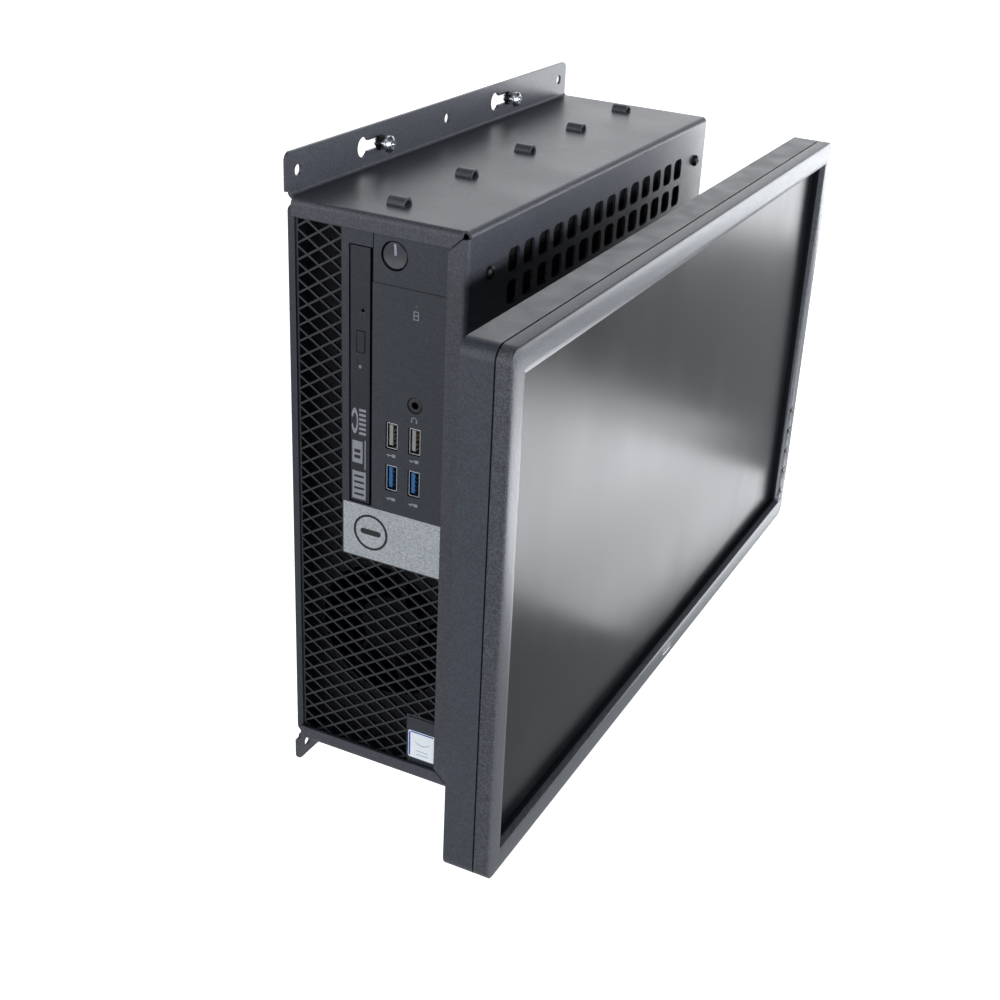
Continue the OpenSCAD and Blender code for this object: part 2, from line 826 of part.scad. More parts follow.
module drive_tray() {
    color([0.14, 0.14, 0.15]) placed() difference() {
        block([tray_x0, tray_y0, odd_z0 + 3.4], [tray_x1, tray_y1, odd_z1 - 3.4]);
        translate([tray_mid_x, 0, tray_mid_z]) {
            rod_y(tray_y1 + 2.4, disc_r, 4);
            rod_y(tray_y0 + 1, 17, 12);
        }
        block([tray_x0 - 1, eject_at[0] - 3, eject_at[1] - 6],
              [tray_x0 + 3, eject_at[0] + 3, eject_at[1] + 6]);
    }
}

module drive_bezel() {
    color([0.07, 0.08, 0.1]) placed() along_x(pc_x0 + 0.2, 3) difference() {
        rect([odd_y0 - 0.6, odd_z0 + 0.7], [odd_y1 + 1.4, odd_z1 - 0.7]);
        translate(eject_at) square([eject_size[0] + 0.6, eject_size[1] + 0.6], center = true);
        translate([-40.6, 101.4]) circle(0.8);
        translate([-39.2, 73.6]) circle(0.9);
    }
}

module eject_button() {
    color([0.09, 0.1, 0.12]) placed() translate([0, eject_at[0], eject_at[1]]) {
        block([pc_x0 + 0.1, -eject_size[0] / 2, -eject_size[1] / 2],
              [pc_x0 + 3.6, eject_size[0] / 2, eject_size[1] / 2]);
        block([pc_x0 + 3.6, -1, -1], [pc_x0 + 5, 1, 1]);
    }
}

module drive_light() {
    color([0.6, 0.75, 0.55]) placed()
        translate([0, -39.2, 73.6]) rod_x(pc_x0 + 0.2, 0.9, 3);
}

module disc_spindle() {
    color([0.65, 0.66, 0.68]) placed() translate([tray_mid_x, 0, tray_mid_z]) {
        rod_y(tray_y0 - 0.3, 15, 4);
        rod_y(tray_y0 - 4.3, 7.4, 3.9);
    }
}

// ---- monitor ----

module monitor_bezel() {
    outer_wall = 2.2;
    inner_wall = 1;
    face = 2;
    step = 0.7;
    color([0.3, 0.31, 0.33]) placed() difference() {
        union() {
            along_y(mon_face_back, face_deep - step) round_rect(mon_w, mon_h, mon_r);
            along_y(mon_front + step + eps, step + eps)
                round_rect(mon_w - 2 * step, mon_h - 2 * step, mon_r - step);
        }
        along_y(mon_face_back + 1, face_deep + 3) square([screen_w, screen_h], center = true);
        // channel between the outer and the inner wall, open at the back
        along_y(mon_face_back + 1, face_deep + 1 - face) difference() {
            round_rect(mon_w - 2 * outer_wall, mon_h - 2 * outer_wall, mon_r - outer_wall);
            square([screen_w + 2 * inner_wall, screen_h + 2 * inner_wall], center = true);
        }
        // room for the glass behind the inner wall
        along_y(mon_face_back + 1, 1 + mon_face_back - glass_y + 0.1)
            square([screen_w + 12, screen_h + 12], center = true);
        for (i = [0:4]) translate([menu_x, 0, menu_z - i * menu_pitch])
            rod_y(mon_front + 4, menu_r + 0.35, 6);
        translate([menu_x, 0, mon_power_z - 5.5]) rod_y(mon_front + 4, 0.7, 6);
    }
}

// Solid form of the raised middle of the back cover, made smaller by t for its inside
module bulge(t) {
    big = [300 - 2 * t, 172 - 2 * t];
    small = [252 - 2 * t, 132 - 2 * t];
    hull() {
        along_y(mon_back - 1 - t, 1) round_rect(big[0], big[1], 16, $fn = 32);
        along_y(bulge_y - t, 1) round_rect(small[0], small[1], 12, $fn = 32);
    }
}

module monitor_back_cover() {
    wall = 2.2;
    color([0.16, 0.17, 0.18]) placed() difference() {
        union() {
            along_y(mon_back, rim_deep) round_rect(mon_w, mon_h, mon_r);
            along_y(mon_seam + 1, shadow_gap + 1)
                round_rect(mon_w - 2.4, mon_h - 2.4, mon_r - 1.2);
            bulge(0);
        }
        along_y(mon_back - wall, rim_deep + 5)
            round_rect(mon_w - 2 * wall - 2, mon_h - 2 * wall - 2, mon_r - wall);
        bulge(wall);
        at_corners(vesa / 2) rod_y(bulge_y + 5, 2.4, 12);
        along_y(mon_back + 1, 5) {
            for (i = [0:33], k = [-1, 1]) translate([-132 + i * 8, k * 104]) slot(3.2, 18);
        }
        // windows for the sockets in the lower slope of the raised middle
        block([-92, mon_back + 19, -60], [-62, mon_back + 3, -90]);
        for (x = [-20, 25]) block([x - 10, mon_back + 16, -60], [x + 10, mon_back + 5, -90]);
    }
}

module monitor_chassis() {
    post_y = bulge_y - 2.2;
    plate_y = mon_back - 2.6;
    color([0.66, 0.67, 0.69]) placed() {
        difference() {
            block([-190, plate_y, -108], [190, plate_y - 1, 108]);
            rod_y(plate_y + 1, 16, 4);
        }
        at_corners(vesa / 2) difference() {
            rod_y(post_y, 5, post_y - plate_y + 0.5);
            rod_y(post_y + 1, 2.05, 18);
        }
    }
}

module lcd_frame() {
    color([0.5, 0.51, 0.53]) placed() difference() {
        block([-214, mon_back - 4.5, -124], [214, glass_y + glass_t, 124]);
        block([-213, mon_back - 5.5, -123], [213, glass_y, 123]);
    }
}

module lcd_backlight() {
    color([0.9, 0.9, 0.88]) placed()
        block([-212.8, mon_back - 5.5, -122.8], [212.8, glass_y + glass_t + 0.1, 122.8]);
}

module lcd_glass() {
    color([0.04, 0.04, 0.05]) placed()
        block([-210, glass_y + glass_t, -119], [210, glass_y, 119]);
}

// Circuit board between the mounting posts, with parts on its room side
module monitor_board(x, w, parts) {
    block([x, mon_back + 8, -44], [x + w, mon_back + 6.4, 44]);
    for (p = parts)
        block([x + p[0], mon_back + 6.4, p[1]], [x + p[0] + p[2], mon_back + 6.4 - p[4], p[1] + p[3]]);
}

module monitor_main_board() {
    color([0.1, 0.3, 0.18]) placed()
        monitor_board(-42, 84, [[30, -10, 20, 20, 2], [8, 20, 14, 8, 4], [60, -30, 10, 24, 5]]);
}

module monitor_power_board() {
    color([0.45, 0.35, 0.18]) placed()
        monitor_board(-112, 50, [[6, -20, 26, 24, 6], [8, 14, 16, 20, 7], [34, -34, 10, 12, 6]]);
}

// Mains and signal sockets that face down
module monitor_ports() {
    color([0.08, 0.08, 0.09]) placed() {
        difference() {
            block([-90, mon_back + 18, -64], [-64, mon_back + 4, -84]);
            block([-87, mon_back + 16, -70], [-67, mon_back + 6, -90]);
        }
        for (x = [-20, 25]) difference() {
            block([x - 9, mon_back + 15, -64], [x + 9, mon_back + 6, -80]);
            block([x - 7.6, mon_back + 13.6, -70], [x + 7.6, mon_back + 7.4, -86]);
        }
    }
}

// Round push button in the right-hand bezel, with a wider foot behind the face
module face_button(z) {
    color([0.6, 0.61, 0.62]) placed() translate([menu_x, 0, z]) {
        rod_y(mon_front + 3.5, menu_r, 3.7);
        rod_y(mon_front + 4.6, menu_r + 0.3, 1.2);
    }
}

module menu_button_1() { face_button(menu_z); }
module menu_button_2() { face_button(menu_z - menu_pitch); }
module menu_button_3() { face_button(menu_z - 2 * menu_pitch); }
module menu_button_4() { face_button(menu_z - 3 * menu_pitch); }
module monitor_power_button() { face_button(mon_power_z); }

module monitor_power_light() {
    color([0.7, 0.85, 1]) placed()
        translate([menu_x, 0, mon_power_z - 5.5]) rod_y(mon_front + 2.4, 0.7, 2.4);
}

wall_enclosure();
keyhole_screws();
keyhole_collars();
panel_screws();
liner_pads();
vesa_bracket();
vesa_screws();
pc_front_bezel();
front_grille();
silver_band();
emblem_ring();
power_button();
power_light_pipe();
power_switch();
activity_light();
headset_jack();
usb_shells();
usb2_tongues();
usb3_tongues();
front_io_board();
label_pad();
info_label();
pc_chassis();
board_standoffs();
pc_side_cover();
motherboard();
coin_cell();
cpu_heatsink();
fan_frame();
fan_rotor();
memory_modules();
hard_drive();
drive_caddy();
psu_case();
psu_fan_rotor();
power_inlet();
rear_io_plate();
rear_ports();
slot_covers();
optical_drive_case();
drive_tray();
drive_bezel();
eject_button();
drive_light();
disc_spindle();
monitor_bezel();
monitor_back_cover();
monitor_chassis();
lcd_frame();
lcd_backlight();
lcd_glass();
monitor_main_board();
monitor_power_board();
monitor_ports();
menu_button_1();
menu_button_2();
menu_button_3();
menu_button_4();
monitor_power_button();
monitor_power_light();
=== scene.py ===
"""Looks of the small desktop computer in its folded wall enclosure, with the monitor in front of it.

The wall plane is Y = 0, the room is towards -Y, the computer's front faces -X and +Z is up.
Every size is in metres; MM turns millimetres into metres. Heights written with up() are taken
from the middle of the enclosure, as in the CAD source.
"""
import json
import math

import bmesh
import bpy
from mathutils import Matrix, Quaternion, Vector


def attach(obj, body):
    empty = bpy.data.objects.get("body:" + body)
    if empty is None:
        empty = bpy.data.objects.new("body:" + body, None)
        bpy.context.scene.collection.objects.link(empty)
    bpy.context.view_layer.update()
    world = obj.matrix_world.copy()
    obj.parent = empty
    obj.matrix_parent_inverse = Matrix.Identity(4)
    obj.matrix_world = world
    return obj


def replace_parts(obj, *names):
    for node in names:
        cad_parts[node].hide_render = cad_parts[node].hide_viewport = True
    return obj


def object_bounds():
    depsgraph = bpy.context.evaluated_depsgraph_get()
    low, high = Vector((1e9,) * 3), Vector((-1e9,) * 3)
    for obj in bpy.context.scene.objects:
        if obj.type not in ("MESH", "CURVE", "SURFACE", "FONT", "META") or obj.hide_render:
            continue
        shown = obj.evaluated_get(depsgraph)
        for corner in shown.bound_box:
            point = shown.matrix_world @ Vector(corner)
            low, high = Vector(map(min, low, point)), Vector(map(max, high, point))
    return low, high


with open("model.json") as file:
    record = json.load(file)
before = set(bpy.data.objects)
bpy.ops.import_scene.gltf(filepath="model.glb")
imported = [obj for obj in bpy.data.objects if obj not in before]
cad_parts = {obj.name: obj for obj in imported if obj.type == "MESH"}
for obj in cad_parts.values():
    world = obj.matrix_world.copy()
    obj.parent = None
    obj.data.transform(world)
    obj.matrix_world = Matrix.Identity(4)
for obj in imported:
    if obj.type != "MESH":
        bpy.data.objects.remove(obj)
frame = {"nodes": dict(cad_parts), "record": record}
cad_low, cad_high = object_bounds()
nodes = frame["nodes"]
slot_of = {part["node"]: part["material_slot"] for part in frame["record"]["subparts"]}
scene = bpy.context.scene
MM = 0.001
MOUNT_Z = 158.5
FRONT_X = -145.6


def up(z):
    """Height in the row frame of a height above the middle of the enclosure, in millimetres."""
    return z - MOUNT_Z


# ---- camera, floor and light ----

CAMERA_AT = (-0.6982, -0.3866, 0.1747)
CAMERA_AZIMUTH = -66.63
CAMERA_ELEVATION = 26.09
CAMERA_ROLL = 3.99
CAMERA_LENS = 53.65
CAMERA_SHIFT = (-0.0662, -0.0099)
CAMERA_CLIP = (0.05, 50)

SKY_COLOUR = (0.955, 0.978, 1, 1)
# Ramps of the sky, each from one value of a direction to another, and the result at both
SKY_FADE = (0.40, 0.95, 1.7, 0.06)
SKY_LEAN = (-0.6, 0.15, 4.5, 1)
GROUND_FADE = (-0.40, -0.02, 0.35, 1)
SOFTBOX_TINT = (0.95, 0.975, 1)
LOW_STRIP_AT = (0.25, -0.35, -0.335)
FAR_STRIP_AT = (0.29, -0.42, -0.334)
STRIP_TURN = -8
LIGHT_AIM_Z = 1

FLOOR_DROP = 0.05
FLOOR_HALF = 12
FLOOR_COLOUR = (0.96, 0.95, 0.935, 1)
FLOOR_GLOW = 0.75


def above(point):
    """The place straight over another at height LIGHT_AIM_Z, to aim a light straight up."""
    return (point[0], point[1], LIGHT_AIM_Z)


def add_camera():
    """Camera with its own roll and shift, aimed by azimuth and elevation."""
    a, e = math.radians(CAMERA_AZIMUTH), math.radians(CAMERA_ELEVATION)
    back = Vector((math.sin(a) * math.cos(e), -math.cos(a) * math.cos(e), math.sin(e)))
    data = bpy.data.cameras.new("camera")
    data.lens = CAMERA_LENS
    data.shift_x, data.shift_y = CAMERA_SHIFT
    data.clip_start, data.clip_end = CAMERA_CLIP
    camera = bpy.data.objects.new("camera", data)
    camera.rotation_mode = "QUATERNION"
    level = (-back).to_track_quat("-Z", "Y")
    camera.rotation_quaternion = level @ Quaternion((0, 0, 1), math.radians(CAMERA_ROLL))
    camera.location = CAMERA_AT
    scene.collection.objects.link(camera)
    scene.camera = camera


def area_light(name, at, towards, size, radiance, spread=180, turn=0):
    """A softbox of that size and brightness, turned in its plane. The camera doesn't see it."""
    data = bpy.data.lights.new(name, "AREA")
    data.shape = "RECTANGLE"
    data.size, data.size_y = size
    data.energy = radiance * math.pi * size[0] * size[1]
    data.spread = math.radians(spread)
    data.color = SOFTBOX_TINT
    light = bpy.data.objects.new(name, data)
    light.location = at
    light.rotation_mode = "QUATERNION"
    aim = (Vector(towards) - Vector(at)).to_track_quat("-Z", "Y")
    light.rotation_quaternion = aim @ Quaternion((0, 0, 1), math.radians(turn))
    light.visible_camera = False
    scene.collection.objects.link(light)


def add_lights():
    """A long softbox in the room, one at the far end, two low ones that shine up, and the sky."""
    area_light("room_panel", (-0.2, -1.8, 0.12), (0, 0, 0), (2.0, 0.3), 16.0)
    area_light("right_panel", (1.05, -0.50, -0.19), (0.2, -0.22, -0.03), (0.7, 0.30), 0.37, 50)
    area_light("low_strip", LOW_STRIP_AT, above(LOW_STRIP_AT), (0.29, 0.33), 3.2, turn=STRIP_TURN)
    area_light("far_strip", FAR_STRIP_AT, above(FAR_STRIP_AT), (0.36, 0.27), 3.0, turn=STRIP_TURN)
    scene.world = studio_sky()
    scene.view_settings.view_transform = "Standard"


def studio_sky():
    """White studio walls that darken to the ground and to the ceiling, sooner on the room side."""
    world = bpy.data.worlds.new("studio")
    world.use_nodes = True
    tree = world.node_tree
    background = tree.nodes["Background"]
    background.inputs["Color"].default_value = SKY_COLOUR
    direction = tree.nodes.new("ShaderNodeTexCoord").outputs["Generated"]
    split = tree.nodes.new("ShaderNodeSeparateXYZ")
    tree.links.new(direction, split.inputs["Vector"])

    def ramp(source, values):
        node = tree.nodes.new("ShaderNodeMapRange")
        node.interpolation_type = "SMOOTHSTEP"
        for socket, value in zip(("From Min", "From Max", "To Min", "To Max"), values):
            node.inputs[socket].default_value = value
        tree.links.new(source, node.inputs["Value"])
        return node.outputs["Result"]

    def product(one, two):
        node = tree.nodes.new("ShaderNodeMath")
        node.operation = "MULTIPLY"
        tree.links.new(one, node.inputs[0])
        tree.links.new(two, node.inputs[1])
        return node.outputs["Value"]

    height = product(split.outputs["Z"], ramp(split.outputs["Y"], SKY_LEAN))
    strength = product(ramp(height, SKY_FADE), ramp(split.outputs["Z"], GROUND_FADE))
    tree.links.new(strength, background.inputs["Strength"])
    return world


def add_floor():
    """Pale floor that glows a little and neither lights the object nor shows in it."""
    half = FLOOR_HALF
    mesh = bpy.data.meshes.new("floor")
    z = cad_low.z - FLOOR_DROP
    corners = [(-half, -half, z), (half, -half, z), (half, half, z), (-half, half, z)]
    mesh.from_pydata(corners, [], [(0, 1, 2, 3)])
    floor = bpy.data.objects.new("floor", mesh)
    scene.collection.objects.link(floor)
    floor.visible_diffuse = floor.visible_glossy = False
    material = bpy.data.materials.new("floor_paper")
    material.use_nodes = True
    shader = material.node_tree.nodes["Principled BSDF"]
    shader.inputs["Base Color"].default_value = FLOOR_COLOUR
    shader.inputs["Roughness"].default_value = 0.9
    shader.inputs["Specular IOR Level"].default_value = 0.1
    shader.inputs["Emission Color"].default_value = (1, 1, 1, 1)
    shader.inputs["Emission Strength"].default_value = FLOOR_GLOW
    mesh.materials.append(material)


# ---- finishes ----

class Finish:
    """A material in the making: a Principled shader and the nodes that vary it over the piece."""

    def __init__(self, name, colour, rough, metal=0.0, specular=0.5):
        """Sets the values that are the same all over the surface."""
        self.material = bpy.data.materials.new(name)
        self.material.use_nodes = True
        self.tree = self.material.node_tree
        self.shader = self.tree.nodes["Principled BSDF"]
        self.colour = colour
        self.put("Base Color", (*colour, 1))
        self.put("Roughness", rough)
        self.put("Metallic", metal)
        self.put("Specular IOR Level", specular)
        self.coords = self.tree.nodes.new("ShaderNodeTexCoord").outputs["Object"]

    def put(self, socket, value):
        self.shader.inputs[socket].default_value = value

    def link(self, start, end):
        self.tree.links.new(start, end)

    def space(self, size, stretch):
        """Object coordinates counted in grains of that size, in millimetres, along each axis."""
        scaled = self.tree.nodes.new("ShaderNodeMapping")
        scaled.inputs["Scale"].default_value = [1 / (size * MM * s) for s in stretch]
        self.link(self.coords, scaled.inputs["Vector"])
        return scaled.outputs["Vector"]

    def noise(self, size, detail=2.0, stretch=(1, 1, 1)):
        """Soft noise of that size in millimetres."""
        texture = self.tree.nodes.new("ShaderNodeTexNoise")
        texture.inputs["Scale"].default_value = 1
        texture.inputs["Detail"].default_value = detail
        self.link(self.space(size, stretch), texture.inputs["Vector"])
        return texture.outputs["Fac"]

    def cells(self, size, output="Distance"):
        """Cells of that size in millimetres: distance to each middle, or one colour for each."""
        texture = self.tree.nodes.new("ShaderNodeTexVoronoi")
        texture.feature = "F1"
        texture.inputs["Scale"].default_value = 1
        self.link(self.space(size, (1, 1, 1)), texture.inputs["Vector"])
        return texture.outputs[output]

    def remap(self, source, low, high, to_low, to_high):
        """Straight-line change of range, clamped at both ends."""
        node = self.tree.nodes.new("ShaderNodeMapRange")
        for socket, value in zip(("From Min", "From Max", "To Min", "To Max"),
                                 (low, high, to_low, to_high)):
            node.inputs[socket].default_value = value
        self.link(source, node.inputs["Value"])
        return node.outputs["Result"]

    def tint(self, share, other):
        """Base colour from the finish's own colour to another where share is 1."""
        node = self.tree.nodes.new("ShaderNodeMix")
        node.data_type = "RGBA"
        node.inputs["A"].default_value = (*self.colour, 1)
        node.inputs["B"].default_value = (*other, 1)
        self.link(share, node.inputs["Factor"])
        self.link(node.outputs["Result"], self.shader.inputs["Base Color"])
        return node.outputs["Result"]

    def tint_more(self, below, share, colour):
        """A further colour over an earlier tint, where share is 1."""
        node = self.tree.nodes.new("ShaderNodeMix")
        node.data_type = "RGBA"
        self.link(below, node.inputs["A"])
        node.inputs["B"].default_value = (*colour, 1)
        self.link(share, node.inputs["Factor"])
        self.link(node.outputs["Result"], self.shader.inputs["Base Color"])

    def roughen(self, source, low, high):
        """Roughness that follows a texture between two values."""
        self.link(self.remap(source, 0.25, 0.75, low, high), self.shader.inputs["Roughness"])

    def bump(self, height, depth, strength=1.0):
        """Relief of that depth in millimetres, on top of any relief put in before."""
        node = self.tree.nodes.new("ShaderNodeBump")
        node.inputs["Strength"].default_value = strength
        node.inputs["Distance"].default_value = depth * MM
        self.link(height, node.inputs["Height"])
        earlier = self.shader.inputs["Normal"].links
        if earlier:
            self.link(earlier[0].from_socket, node.inputs["Normal"])
        self.link(node.outputs["Normal"], self.shader.inputs["Normal"])


def lighter(colour, by):
    """A colour made lighter, or darker where by is under 1."""
    return tuple(min(1.0, c * by) for c in colour)


def grained_plastic(name, colour, rough=0.42, grain=0.55, depth=0.02):
    """Moulded plastic with a fine etched grain and faint handling marks."""
    finish = Finish(name, colour, rough)
    finish.bump(finish.noise(grain, 3), depth)
    finish.roughen(finish.noise(14, 4), rough - 0.07, rough + 0.08)
    speckle = finish.cells(grain * 1.2, output="Color")
    finish.tint(finish.remap(speckle, 0.3, 0.85, 0, 1), lighter(colour, 1.7))
    return finish.material


def gloss_plastic(name, colour, rough=0.22):
    """Smooth moulded plastic with slow waves and small scuffs."""
    finish = Finish(name, colour, rough)
    finish.bump(finish.noise(9, 2), 0.02)
    finish.roughen(finish.noise(3, 5), rough - 0.06, rough + 0.10)
    finish.tint(finish.remap(finish.noise(0.9, 2), 0.45, 0.8, 0, 1), lighter(colour, 1.15))
    return finish.material


def brushed_metal(name, colour, rough=0.3, along=(1, 60, 1), dark=0.8):
    """Metal with fine parallel brush lines along one axis."""
    finish = Finish(name, colour, rough, metal=1.0)
    lines = finish.noise(0.25, 2, along)
    finish.bump(lines, 0.006)
    finish.roughen(lines, rough - 0.08, rough + 0.12)
    finish.tint(finish.remap(finish.noise(0.35, 2, along), 0.35, 0.7, 0, 1), lighter(colour, dark))
    return finish.material


def plated_metal(name, colour, rough=0.25):
    """Turned and plated small metal pieces, with slight tarnish."""
    finish = Finish(name, colour, rough, metal=1.0)
    finish.bump(finish.noise(0.5, 3), 0.008)
    tarnish = finish.noise(2.2, 4)
    finish.roughen(tarnish, rough - 0.08, rough + 0.15)
    finish.tint(finish.remap(tarnish, 0.5, 0.75, 0, 1), lighter(colour, 0.7))
    return finish.material


def spangled_metal(name, colour, rough=0.38):
    """Galvanised sheet with large zinc spangles."""
    finish = Finish(name, colour, rough, metal=1.0)
    spangle = finish.cells(6, output="Color")
    finish.roughen(spangle, rough - 0.10, rough + 0.12)
    finish.tint(finish.remap(spangle, 0.2, 0.8, 0, 1), lighter(colour, 0.78))
    finish.bump(finish.noise(1.5, 3), 0.01)
    return finish.material


def circuit_board(name, colour, trace):
    """Solder mask over copper traces, with pads."""
    finish = Finish(name, colour, 0.35)
    square = finish.cells(2.4)
    tracks = finish.noise(1.1, 0, (1, 40, 9))
    below = finish.tint(finish.remap(tracks, 0.52, 0.55, 0, 1), trace)
    finish.tint_more(below, finish.remap(square, 0.13, 0.11, 0, 1), (0.55, 0.5, 0.35))
    finish.roughen(finish.noise(5, 3), 0.28, 0.45)
    finish.bump(tracks, 0.03)
    return finish.material


def powder_coat(name):
    """Black powder coat: fine orange peel, dust-fine specks and a slightly uneven sheen."""
    colour = (0.044, 0.047, 0.058)
    finish = Finish(name, colour, 0.34, specular=0.4)
    finish.bump(finish.noise(0.9, 2), 0.05)
    finish.roughen(finish.noise(35, 4), 0.31, 0.38)
    grain = finish.cells(0.75, output="Color")
    below = finish.tint(finish.remap(grain, 0.25, 0.85, 0, 1), lighter(colour, 1.5))
    finish.tint_more(below, finish.remap(finish.cells(1.5), 0.16, 0.10, 0, 0.7), (0.16, 0.17, 0.19))
    return finish.material


def case_plastic(name):
    """Moulded front of the computer: dark blue-black, open grain."""
    return grained_plastic(name, (0.014, 0.018, 0.026), 0.42, 0.6, 0.05)


def grille_plastic(name):
    """Lattice of the grille, a little smoother than the front."""
    return grained_plastic(name, (0.012, 0.014, 0.019), 0.36, 0.8, 0.012)


def drive_plastic(name):
    """Drive bezel, the smoothest and darkest of the front's plastics."""
    return grained_plastic(name, (0.006, 0.008, 0.014), 0.30, 0.9, 0.010)


def cover_plastic(name):
    """Back cover of the monitor, greyer and finely grained."""
    return grained_plastic(name, (0.026, 0.031, 0.042), 0.38, 0.5, 0.02)


def bezel_silver(name):
    """Satin grey paint with fine metal flakes, worn a little smoother at random."""
    colour = (0.036, 0.039, 0.046)
    finish = Finish(name, colour, 0.33, metal=0.2)
    flakes = finish.cells(0.55, output="Color")
    below = finish.tint(finish.remap(flakes, 0.3, 0.9, 0, 1), lighter(colour, 2.4))
    finish.tint_more(below, finish.remap(finish.noise(0.6, 2), 0.55, 0.8, 0, 0.6),
                     lighter(colour, 0.7))
    finish.roughen(flakes, 0.28, 0.42)
    finish.bump(finish.noise(0.6, 2), 0.06)
    return finish.material


def band_metal(name):
    """Satin silver with a fine even sparkle."""
    colour = (0.52, 0.55, 0.58)
    finish = Finish(name, colour, 0.42, metal=0.8)
    sparkle = finish.cells(0.5, output="Color")
    finish.tint(finish.remap(sparkle, 0.3, 0.85, 0, 1), lighter(colour, 0.62))
    finish.roughen(finish.noise(9, 4), 0.36, 0.48)
    finish.bump(finish.noise(0.6, 2), 0.02)
    return finish.material


def screen_glass(name):
    """Matt anti-glare film over a dark panel, with a trace of wiped dust."""
    colour = (0.006, 0.0065, 0.008)
    finish = Finish(name, colour, 0.23, specular=0.12)
    finish.bump(finish.noise(0.3, 2), 0.0015)
    wipes = finish.noise(30, 5, (1, 1, 3))
    finish.roughen(wipes, 0.21, 0.26)
    finish.tint(finish.remap(wipes, 0.45, 0.8, 0, 1), (0.012, 0.0125, 0.014))
    return finish.material


def label_print(name):
    """Printed film: a pale field inside a blue edge, without lettering."""
    colour = (0.86, 0.91, 0.97)
    finish = Finish(name, colour, 0.25)
    finish.roughen(finish.noise(2, 3), 0.2, 0.32)
    finish.tint(finish.remap(finish.noise(0.35, 2), 0.4, 0.7, 0, 1), (0.94, 0.96, 0.99))
    finish.bump(finish.noise(6, 2), 0.02)
    return finish.material


def rubber_black(name):
    """Dull rubber with a dusty bloom."""
    finish = Finish(name, (0.014, 0.014, 0.014), 0.8, specular=0.3)
    finish.bump(finish.noise(0.8, 4), 0.03)
    finish.roughen(finish.noise(6, 4), 0.7, 0.9)
    finish.tint(finish.remap(finish.noise(3, 4), 0.5, 0.8, 0, 1), (0.04, 0.04, 0.04))
    return finish.material


def light_pipe(name):
    """Frosted clear plastic over a dark inside, slightly milky."""
    finish = Finish(name, (0.26, 0.27, 0.34), 0.28)
    finish.tint(finish.remap(finish.noise(0.8, 2), 0.4, 0.7, 0, 1), (0.34, 0.35, 0.42))
    finish.bump(finish.noise(0.4, 2), 0.006)
    finish.roughen(finish.noise(1, 3), 0.22, 0.36)
    return finish.material


def dull_black(name, colour):
    """Unlit inner pieces: dark, almost without sheen."""
    finish = Finish(name, colour, 0.6, specular=0.12)
    finish.bump(finish.noise(0.9, 3), 0.02)
    finish.roughen(finish.noise(8, 4), 0.52, 0.7)
    finish.tint(finish.remap(finish.noise(2, 4), 0.45, 0.8, 0, 1), lighter(colour, 1.8))
    return finish.material


def cover_paint(name):
    """Dull near-black paint of the computer's steel covers, seen only through openings; its tone is
    painted shade, darker than the steel, so the inside reads black behind the grille and vents.
    """
    return dull_black(name, (0.009, 0.009, 0.010))


FINISHES = {
    "powder_coat": powder_coat,
    "zinc_screw": lambda n: plated_metal(n, (0.66, 0.68, 0.71), 0.22),
    "black_hardware": lambda n: plated_metal(n, (0.055, 0.055, 0.06), 0.38),
    "rubber_black": rubber_black,
    "case_plastic": case_plastic,
    "grille_plastic": grille_plastic,
    "band_metal": band_metal,
    "emblem_dark": lambda n: gloss_plastic(n, (0.005, 0.005, 0.007), 0.42),
    "button_plastic": lambda n: gloss_plastic(n, (0.035, 0.038, 0.046), 0.2),
    "light_pipe": light_pipe,
    "switch_body": lambda n: grained_plastic(n, (0.05, 0.05, 0.05)),
    "jack_plastic": lambda n: gloss_plastic(n, (0.012, 0.012, 0.013), 0.3),
    "port_metal": lambda n: plated_metal(n, (0.62, 0.62, 0.63), 0.24),
    "tongue_white": lambda n: gloss_plastic(n, (0.30, 0.30, 0.30), 0.35),
    "tongue_blue": lambda n: gloss_plastic(n, (0.012, 0.13, 0.36), 0.3),
    "circuit_green": lambda n: circuit_board(n, (0.012, 0.085, 0.035), (0.02, 0.15, 0.06)),
    "label_print": label_print,
    "chassis_steel": lambda n: spangled_metal(n, (0.52, 0.53, 0.55)),
    "standoff_brass": lambda n: plated_metal(n, (0.62, 0.45, 0.18), 0.28),
    "cover_paint": cover_paint,
    "cell_steel": lambda n: brushed_metal(n, (0.62, 0.62, 0.60), 0.25, (40, 1, 1)),
    "heatsink_alloy": lambda n: brushed_metal(n, (0.66, 0.67, 0.69), 0.35, (1, 30, 1)),
    # Fan: black plastic, made darker still as painted shade so the fan behind the grille reads
    # black.
    "fan_plastic": lambda n: dull_black(n, (0.003, 0.003, 0.004)),
    "drive_alloy": lambda n: spangled_metal(n, (0.46, 0.47, 0.49), 0.42),
    "caddy_plastic": lambda n: grained_plastic(n, (0.03, 0.11, 0.34), 0.4),
    "inlet_plastic": lambda n: grained_plastic(n, (0.012, 0.012, 0.013), 0.42),
    "drive_plastic": drive_plastic,
    "tray_plastic": lambda n: grained_plastic(n, (0.02, 0.02, 0.022), 0.45),
    "drive_lamp": lambda n: gloss_plastic(n, (0.16, 0.19, 0.17), 0.25),
    "bezel_silver": bezel_silver,
    "cover_plastic": cover_plastic,
    "panel_steel": lambda n: spangled_metal(n, (0.48, 0.48, 0.50), 0.4),
    "diffuser_white": lambda n: gloss_plastic(n, (0.80, 0.80, 0.78), 0.4),
    "screen_glass": screen_glass,
    "circuit_tan": lambda n: circuit_board(n, (0.26, 0.16, 0.05), (0.36, 0.24, 0.09)),
    "menu_plastic": lambda n: gloss_plastic(n, (0.055, 0.056, 0.06), 0.35),
}
